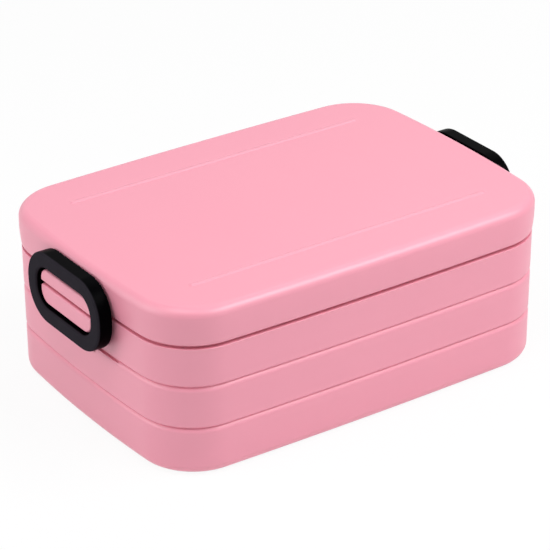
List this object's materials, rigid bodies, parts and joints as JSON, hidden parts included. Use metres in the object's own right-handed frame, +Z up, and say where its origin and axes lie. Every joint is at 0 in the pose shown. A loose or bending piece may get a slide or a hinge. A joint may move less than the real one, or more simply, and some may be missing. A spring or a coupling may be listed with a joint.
{
  "type": "bento lunch box",
  "caption": "Rectangular lunch box with a grooved tub, a lift-off lid held by ring latches at its short ends, and a lift-out tray with a divider and a fork.",
  "frame": {"origin": "middle of the underside, on the surface that the box stands on", "axes": "+X along the length between the two clips, -Y towards the long side that the picture shows, +Z up through the lid"},
  "size_m": [0.1832, 0.12, 0.0654],
  "materials": {
    "shell_plastic": "moulded satin pink plastic",
    "seal_silicone": "moulded translucent white silicone",
    "clip_plastic": "moulded black plastic with a fine matt texture",
    "tray_plastic": "moulded milky white plastic",
    "fork_plastic": "moulded white plastic"
  },
  "bodies": {
    "tub_body": {"base_tub": "shell_plastic"},
    "lid_body": {"lid": "shell_plastic", "lid_seal": "seal_silicone"},
    "clip_left_body": {"clip_left": "clip_plastic"},
    "clip_right_body": {"clip_right": "clip_plastic"},
    "tray_body": {"bento_tray": "tray_plastic"},
    "divider_body": {"tray_divider": "tray_plastic"},
    "fork_body": {"fork": "fork_plastic"}
  },
  "joints": [
    {"name": "clip_left_swing", "type": "hinge", "parent": "tub_body", "child": "clip_left_body", "pos_m": [-0.0834, 0, 0.0347], "axis": [0, -1, 0], "range_deg": [0, 85]},
    {"name": "clip_right_swing", "type": "hinge", "parent": "tub_body", "child": "clip_right_body", "pos_m": [0.0834, 0, 0.0347], "axis": [0, 1, 0], "range_deg": [0, 85]},
    {"name": "lid_lift", "type": "slide", "parent": "tub_body", "child": "lid_body", "axis": [0, 0, 1], "range_m": [0, 0.16]},
    {"name": "tray_lift", "type": "slide", "parent": "tub_body", "child": "tray_body", "axis": [0, 0, 1], "range_m": [0, 0.08]},
    {"name": "divider_lift", "type": "slide", "parent": "tray_body", "child": "divider_body", "axis": [0, 0, 1], "range_m": [0, 0.048]},
    {"name": "fork_lift", "type": "slide", "parent": "tray_body", "child": "fork_body", "axis": [0, 0, 1], "range_m": [0, 0.032]}
  ],
  "couplings": [
    {"joint": "tray_lift", "follows": "lid_lift", "ratio": 0.5},
    {"joint": "divider_lift", "follows": "lid_lift", "ratio": 0.3},
    {"joint": "fork_lift", "follows": "lid_lift", "ratio": 0.2}
  ]
}
